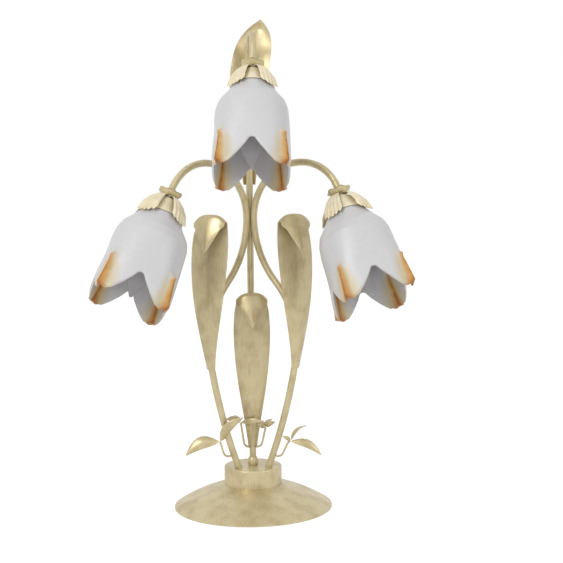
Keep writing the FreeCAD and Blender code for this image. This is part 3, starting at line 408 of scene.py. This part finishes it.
INNER_FIN = 0.3          # share of a fin's height that shows as a hollow inside
LIP_ROUND = 0.3
SKIN_COLUMNS = 240
SKIN_ROWS = 112
LIP_FROM = 57.0          # rows where the skin turns round the petals' edge
LIP_TO = 59.0
NECK_FROM = 110.0        # row where the inside reaches the neck


def fin_height(drop, off):
    """How far the pinched fin and its nub stand out, off mm from the petal's middle."""
    size = sizes()
    down = (drop - FIN_START) / FIN_LENGTH
    fin = ramp(drop, FIN_START, FIN_FULL) * (size.fin_root + (size.fin_tip - size.fin_root) * down)
    nub = size.nub * math.exp(-((drop - NUB_DROP) / NUB_HALF) ** 2 - (off / NUB_HALF) ** 2)
    return fin * math.exp(-(off / FIN_HALF) ** 2) + nub


def glass_radius(drop, angle, share):
    """Radius of the glass, with its lobes, soft dents and pinched fins."""
    wide = along(GLASS_PROFILE, drop)
    lobe = LOBE * ramp(drop, LOBE_START, NOTCH_TOP) * -math.cos(math.radians(4 * angle))
    wave = math.sin(drop / DENT_LENGTH + 3 * math.radians(angle)) - 1.0
    dent = DENT * wave * ramp(drop, 45.0, 75.0)
    off = wide * math.radians((angle % 90.0) - 45.0)
    return wide * (1 + lobe + dent) + share * fin_height(drop, off)


def glass_edge(angle):
    """Drop of the petals' edge at an angle: notches between petals, a sloped end on each fin."""
    away = math.radians(45.0 - abs((angle % 90.0) - 45.0))
    edge = along(NOTCH_EDGE, TIP_RADIUS * math.sin(away))
    off = TIP_RADIUS * math.radians((angle % 90.0) - 45.0)
    return edge - TIP_SLOPE * sizes().fin_tip * math.exp(-(off / FIN_HALF) ** 2)


def tulip_point(s, t):
    """The glass as one closed skin: outside down to the edge, then inside back up to the neck."""
    wall = sizes().wall
    angle = 360.0 * s
    edge = glass_edge(angle)
    step = t * SKIN_ROWS
    if step < 1.0:
        r, drop = NECK_HOLE, NECK_TOP
    elif step <= LIP_FROM:
        drop = NECK_TOP + (edge - NECK_TOP) * (step - 1.0) / (LIP_FROM - 1.0)
        r = glass_radius(drop, angle, 1.0)
    elif step < LIP_TO:
        drop = edge + LIP_ROUND
        r = (glass_radius(edge, angle, 1.0) + glass_radius(edge, angle, INNER_FIN) - wall) / 2
    elif step <= NECK_FROM + 0.5:
        drop = NECK_UNDER + (edge - NECK_UNDER) * max(0.0, (NECK_FROM - step) / (NECK_FROM - LIP_TO))
        r = glass_radius(drop, angle, INNER_FIN) - wall
    elif step <= NECK_FROM + 1.5:
        r, drop = NECK_HOLE, NECK_UNDER
    else:
        r, drop = NECK_HOLE, NECK_TOP
    return Vector((r * math.cos(math.radians(angle)), r * math.sin(math.radians(angle)), -drop))


def map_petals(piece):
    """UV map of each point's distance across its petal and its drop, in cm."""
    layer = piece.data.uv_layers.new(name="petal")
    points = piece.data.vertices
    for face in piece.data.polygons:
        middle = math.degrees(math.atan2(face.center.y, face.center.x)) % 360.0
        petal = 45.0 + 90.0 * int(middle // 90.0)
        for loop in face.loop_indices:
            place = points[piece.data.loops[loop].vertex_index].co
            angle = math.degrees(math.atan2(place.y, place.x)) % 360.0
            off = (angle - petal + 180.0) % 360.0 - 180.0
            layer.data[loop].uv = (TIP_RADIUS / 10.0 * math.radians(off), -place.z / 10.0)
    piece.data.uv_layers.remove(piece.data.uv_layers[0])


class LAMP_OT_tulip_glasses(bpy.types.Operator):
    """Blows the three frosted tulips with their notches, fins and nubs"""
    bl_idname = "lamp.tulip_glasses"
    bl_label = "Tulip glasses"

    def execute(self, context):
        piece = shape_grid("tulip_master", SKIN_COLUMNS, SKIN_ROWS, tulip_point)
        close_seams(piece)
        map_petals(piece)
        copy_to_heads(piece, "_tulip_glass", "{}_glass", "frosted_glass", "_shade", 60.0)
        return {"FINISHED"}


# ---------------------------------------------------------------- sepals and collars, in mm
# (share of a sepal's length, radius, drop), and (radius, half the gap between two sepals)
CALYX_LINE = [(0.0, 5.2, 0.8), (0.10, 7.6, 0.9), (0.28, 14.6, 3.4), (0.46, 20.0, 9.3), (0.74, 26.6, 19.4),
              (1.0, 29.4, 32.2)]
GAP_LINE = [(5.2, 0.0), (6.6, 0.2), (7.8, 2.2), (29.4, 9.2)]
SEPALS = 4
SEPAL_SHEET = 0.6
RIBS = 5
CORNER_CUT = 0.10        # share of its length by which a sepal's corners are shorter
SCALLOP = 0.035          # share of its length of the scallop under each rib
RIM_FLARE = 0.9
COLLAR_SHEET = 0.8
COLLAR_HOLE = 5.2
COLLAR_REACH = 8.0
COLLAR_RISE = 5.2
COLLAR_LOBES = 6
LOBE_REACH = 0.7
LOBE_RISE = 0.6
COLLAR_DROP = 0.2


def sepal_point(sepal):
    """The shaping function of one ribbed sepal."""
    radii = [(t, r) for t, r, drop in CALYX_LINE]
    drops = [(t, drop) for t, r, drop in CALYX_LINE]

    def place(s, t):
        side = 2 * s - 1
        full = along(radii, 1.0)
        cut = CORNER_CUT * abs(side) ** 1.5 - SCALLOP * math.cos(RIBS * math.pi * side)
        down = t * (1.0 - cut * ramp(t, 0.2, 1.0))
        r = along(radii, down)
        half = math.radians(45.0) - math.asin(min(0.7, along(GAP_LINE, r) / r))
        rib = sizes().rib * ramp(down, 0.12, 0.5) * math.cos(RIBS * math.pi * side)
        flare = RIM_FLARE * ramp(down, 0.75, 1.0) * (r / full)
        r += rib + flare * abs(side)
        angle = math.radians(45.0 + 90.0 * sepal) + half * side
        return Vector((r * math.cos(angle), r * math.sin(angle), -along(drops, down)))

    return place


class LAMP_OT_calyces(bpy.types.Operator):
    """Presses the four ribbed sepals over each cup"""
    bl_idname = "lamp.calyces"
    bl_label = "Ribbed sepals"

    def execute(self, context):
        sepals = [shape_grid("sepal", 44, 30, sepal_point(k)) for k in range(SEPALS)]
        piece = join_pieces(sepals, "sepal_master")
        close_seams(piece)
        thicken(piece, SEPAL_SHEET)
        copy_to_heads(piece, "_ribbed_sepals", "lamp_body", "cream_gold", "_calyx", 50.0)
        return {"FINISHED"}


def collar_point(s, t):
    """Ruffled washer: flat at its hole, then six lobes that curl up."""
    angle = 2 * math.pi * s
    lobe = math.cos(COLLAR_LOBES * angle)
    out = ramp(t, 0.25, 1.0)
    r = COLLAR_HOLE + COLLAR_REACH * t + LOBE_REACH * lobe * out
    rise = COLLAR_RISE * out ** 1.4 + LOBE_RISE * lobe * out
    return Vector((r * math.cos(angle), r * math.sin(angle), -COLLAR_DROP + rise))


class LAMP_OT_collars(bpy.types.Operator):
    """Forms the ruffled washer on top of each flower"""
    bl_idname = "lamp.collars"
    bl_label = "Ruffled collars"

    def execute(self, context):
        piece = shape_grid("collar_master", 96, 14, collar_point)
        close_seams(piece)
        thicken(piece, COLLAR_SHEET)
        copy_to_heads(piece, "_ruffled_collar", "lamp_body", "antique_gold", "_collar", 50.0)
        return {"FINISHED"}


# ---------------------------------------------------------------- long leaves, in mm
FOLD_RADIUS = 4.2
FOLD_TURN = math.radians(162.0)
UP = Vector((0.0, 0.0, 1.0))
SIDE_SEAT = (48.332, -32.522, 172.0)     # middle of a side arm at the foot of its leaf
SIDE_TURN = 28.0         # degrees by which a side leaf faces outwards
SEAT_GAP = 4.2           # from a tube's middle to the leaf on it
FOOT_WIDTH = 10.4
WIDEST_AT = 0.78
DRAWN_OVER = 0.22
FOOT_CREASE = 3.2
CORNER_ROUND = 8.0
LEAN = 10.0              # how far a folded leaf leans out at its top
POINT_WIDTH = 2.0        # of a leaf's blunt point
TOP_FOOT = 386.0
TOP_LENGTH = 193.4
TOP_FOOT_WIDTH = 14.0
TOP_GROWTH = 31.0        # by which the top leaf widens
TOP_WIDEST_AT = 0.66
TOP_DRAWN_OVER = 0.34
TOP_DRIFT = 16.0
TOP_LEAN = 9.0


def strap_width(share, widest):
    """Width of a long leaf: narrow at the tube, widest at three quarters, then drawn in."""
    grown = math.sin(math.pi / 2 * min(1.0, share / WIDEST_AT)) ** 1.25
    drawn = 0.2 * max(0.0, (share - WIDEST_AT) / DRAWN_OVER) ** 1.5
    return FOOT_WIDTH + (widest - FOOT_WIDTH) * (grown - drawn)


def creased(side, crease):
    """Height of the pressed V across a leaf, sharp along its middle."""
    away = abs(side)
    return crease * (0.4 * (1 - away) + 0.6 * (1 - away ** 2.2))


def strap_point(seat, outward, length, widest, flap, drift):
    """The shaping function of a leaf that runs up from its seat and folds over at its top."""
    across = Vector((-outward.y, outward.x, 0.0))
    fold = FOLD_RADIUS * FOLD_TURN
    half_sheet = sizes().metal_sheet / 2

    def place(s, t):
        side = 2 * s - 1
        run = t * (length + fold + flap)
        blade = min(1.0, run / length)
        round_off = CORNER_ROUND * abs(side) ** 3
        if run <= length:
            crease = FOOT_CREASE + 2.2 * math.sin(math.pi * blade) - 2.0 * blade
            point = seat + UP * (length * blade) + across * (drift * blade * blade)
            point += outward * (LEAN * (1 - (1 - blade) ** 3) - FOOT_CREASE)
            point -= UP * (round_off * ramp(blade, 0.88, 1.0))
            return (point + across * (side * strap_width(blade, widest) / 2)
                    + outward * (creased(side, crease) + half_sheet)) * MM
        top = seat + UP * length + across * drift + outward * (LEAN - FOOT_CREASE + FOLD_RADIUS)
        width = strap_width(1.0, widest)
        if run <= length + fold:
            share = (run - length) / fold
            turn = FOLD_TURN * share
            inner = outward * -math.cos(turn) + UP * math.sin(turn)
            point = top + inner * FOLD_RADIUS - UP * round_off
            return (point + across * (side * width / 2)
                    - inner * (creased(side, 1.2 * (1 - 2 * share)) + half_sheet)) * MM
        share = (run - length - fold) / flap
        normal = outward * math.cos(FOLD_TURN) - UP * math.sin(FOLD_TURN)
        fall = outward * math.sin(FOLD_TURN) + UP * math.cos(FOLD_TURN)
        width = max(POINT_WIDTH, width * (1 - share ** 1.4))
        crease = -min(1.2 + 1.5 * math.sin(math.pi * share), width / 4)
        point = top - normal * FOLD_RADIUS + fall * (flap * share)
        point -= UP * (round_off * (1 - ramp(share, 0.0, 0.4)))
        return (point + across * (side * width / 2)
                + normal * (creased(side, crease) + half_sheet)) * MM

    return place


def top_leaf_point(s, t):
    """The tall pointed leaf behind the centre stem."""
    side = 2 * s - 1
    grown = math.sin(math.pi / 2 * min(1.0, t / TOP_WIDEST_AT)) ** 1.2
    drawn = max(0.0, (t - TOP_WIDEST_AT) / TOP_DRAWN_OVER) ** 4
    widest = TOP_FOOT_WIDTH + TOP_GROWTH
    width = max(POINT_WIDTH, TOP_FOOT_WIDTH + TOP_GROWTH * grown - widest * drawn)
    crease = min(FOOT_CREASE + 2.2 * t, width / 4)
    drift = TOP_DRIFT * max(0.0, (t - 0.5) / 0.5) ** 2
    back = SEAT_GAP - FOOT_CREASE + TOP_LEAN * t
    half_sheet = sizes().metal_sheet / 2
    return Vector((drift + side * width / 2, back + creased(side, crease) + half_sheet,
                   TOP_FOOT + TOP_LENGTH * t)) * MM


class LAMP_OT_long_leaves(bpy.types.Operator):
    """Presses the four long creased leaves and folds the tips of three"""
    bl_idname = "lamp.long_leaves"
    bl_label = "Long leaves"

    def execute(self, context):
        front = strap_point(Vector((0.0, -SEAT_GAP, 74.0)), Vector((0.0, -1.0, 0.0)),
                            length=181.0, widest=43.0, flap=40.0, drift=0.0)
        shapes = {"top": top_leaf_point, "front": front}
        for name, sign in (("left", -1.0), ("right", 1.0)):
            facing = math.radians(-90.0 + sign * SIDE_TURN)
            outward = Vector((math.cos(facing), math.sin(facing), 0.0))
            seat = Vector((sign * SIDE_SEAT[0], SIDE_SEAT[1], SIDE_SEAT[2])) + outward * SEAT_GAP
            shapes[name] = strap_point(seat, outward, length=176.0, widest=46.0, flap=42.0,
                                       drift=-sign * 9.0)
        for name, shape in shapes.items():
            piece = shape_grid(name + "_pressed_leaf", 28, 120, shape)
            close_seams(piece)
            thicken(piece, sizes().metal_sheet * MM)
            smooth(piece, 40.0)
            dress(piece, "lamp_body", [name + "_leaf"], FINISHES["leaf_gold"])
        return {"FINISHED"}


# ---------------------------------------------------------------- frame finishes and stage
class LAMP_OT_frame_finishes(bpy.types.Operator):
    """Gives each solid of the frame the finish of its slot"""
    bl_idname = "lamp.frame_finishes"
    bl_label = "Frame finishes"

    def execute(self, context):
        FINISHES.update(make_materials())
        slots = {part["node"]: part["material_slot"] for part in frame["record"]["subparts"]}
        for node, thing in frame["nodes"].items():
            thing.data.materials.clear()
            thing.data.materials.append(FINISHES[slots[node]])
        return {"FINISHED"}


WHITE = (1.0, 1.0, 1.0, 1.0)
LAMP_MIDDLE = (0.0, -0.03, 0.3)
CAMERA_PLACE = (-0.073270, -1.398081, 0.383208)
CAMERA_TURN = (85.4075, 0.6046, -4.5479)     # pitch, roll and yaw in degrees
CAMERA_LENS = 75.50
SENSOR = 36.0


def soft_light(name, place, size, watts):
    """A square soft box that faces the middle of the lamp."""
    light = bpy.data.lights.new(name, "AREA")
    light.size = size
    light.energy = watts
    thing = bpy.data.objects.new(name, light)
    bpy.context.collection.objects.link(thing)
    thing.location = place
    ahead = Vector(LAMP_MIDDLE) - Vector(place)
    thing.rotation_euler = ahead.to_track_quat("-Z", "Y").to_euler()


def seen_directly(tree):
    """1 for camera, mirror and glass rays, and 0 for the rays that light the lamp."""
    path = add_node(tree, "ShaderNodeLightPath")
    first = add_node(tree, "ShaderNodeMath", {"operation": "MAXIMUM"},
                     {0: path.outputs["Is Camera Ray"], 1: path.outputs["Is Glossy Ray"]})
    return add_node(tree, "ShaderNodeMath", {"operation": "MAXIMUM"},
                    {0: first.outputs["Value"], 1: path.outputs["Is Transmission Ray"]}).outputs["Value"]


class LAMP_OT_stage(bpy.types.Operator):
    """Sets the pale floor, the soft light and the camera"""
    bl_idname = "lamp.stage"
    bl_label = "Stage"

    def execute(self, context):
        bpy.ops.object.select_all(action="DESELECT")
        bpy.ops.mesh.primitive_plane_add(size=12.0, location=(0.0, 0.0, 0.0))
        floor = context.active_object
        floor.name = "floor"
        material = bpy.data.materials.new("pale_paper_floor")
        material.use_nodes = True
        tree = material.node_tree
        tree.nodes.clear()
        grey = add_node(tree, "ShaderNodeBsdfDiffuse", {"Color": (0.8, 0.8, 0.8, 1.0)})
        lit = add_node(tree, "ShaderNodeBsdfDiffuse", {"Color": (0.22, 0.22, 0.22, 1.0)})
        glow = add_node(tree, "ShaderNodeEmission", {"Strength": 0.93})
        seen = add_node(tree, "ShaderNodeAddShader", links={0: lit.outputs[0], 1: glow.outputs[0]})
        mix = add_node(tree, "ShaderNodeMixShader",
                       links={0: seen_directly(tree), 1: grey.outputs[0], 2: seen.outputs[0]})
        add_node(tree, "ShaderNodeOutputMaterial", links={"Surface": mix.outputs[0]})
        floor.data.materials.append(material)

        world = bpy.data.worlds.new("white_studio")
        context.scene.world = world
        world.use_nodes = True
        tree = world.node_tree
        tree.nodes.clear()
        room = add_node(tree, "ShaderNodeBackground", {"Color": WHITE, "Strength": 0.55})
        back = add_node(tree, "ShaderNodeBackground", {"Color": WHITE, "Strength": 1.0})
        mix = add_node(tree, "ShaderNodeMixShader",
                       links={0: seen_directly(tree), 1: room.outputs[0], 2: back.outputs[0]})
        add_node(tree, "ShaderNodeOutputWorld", links={"Surface": mix.outputs[0]})

        soft_light("key_light", (-1.0, -1.3, 1.4), 0.9, 16.0)
        soft_light("fill_light", (1.3, -1.0, 0.8), 0.9, 5.0)

        lens = bpy.data.cameras.new("camera")
        lens.lens = CAMERA_LENS
        lens.sensor_width = SENSOR
        camera = bpy.data.objects.new("camera", lens)
        context.collection.objects.link(camera)
        turn = Euler([math.radians(angle) for angle in CAMERA_TURN]).to_matrix().to_4x4()
        camera.matrix_world = Matrix.Translation(CAMERA_PLACE) @ turn
        context.scene.camera = camera
        context.scene.view_settings.view_transform = "Standard"
        return {"FINISHED"}


# ---------------------------------------------------------------- panel and registration
OPERATORS = (LAMP_OT_frame_finishes, LAMP_OT_tulip_glasses, LAMP_OT_calyces, LAMP_OT_collars,
             LAMP_OT_long_leaves, LAMP_OT_stage)


class LAMP_PT_panel(bpy.types.Panel):
    """Lists the lamp's pieces in the sidebar"""
    bl_idname = "LAMP_PT_panel"
    bl_label = "Tulip lamp"
    bl_space_type = "VIEW_3D"
    bl_region_type = "UI"
    bl_category = "Tulip Lamp"

    def draw(self, context):
        for operator in OPERATORS:
            self.layout.operator(operator.bl_idname)


CLASSES = (TulipLampSizes, TulipLampColours) + OPERATORS + (LAMP_PT_panel,)


def register():
    for item in CLASSES:
        bpy.utils.register_class(item)
    bpy.types.Scene.tulip_lamp_sizes = bpy.props.PointerProperty(type=TulipLampSizes)
    bpy.types.Scene.tulip_lamp_colours = bpy.props.PointerProperty(type=TulipLampColours)


def unregister():
    del bpy.types.Scene.tulip_lamp_colours
    del bpy.types.Scene.tulip_lamp_sizes
    for item in reversed(CLASSES):
        bpy.utils.unregister_class(item)


def main():
    register()
    bpy.ops.lamp.frame_finishes()
    bpy.ops.lamp.tulip_glasses()
    bpy.ops.lamp.calyces()
    bpy.ops.lamp.collars()
    bpy.ops.lamp.long_leaves()
    bpy.ops.lamp.stage()


if __name__ == "__main__":
    main()
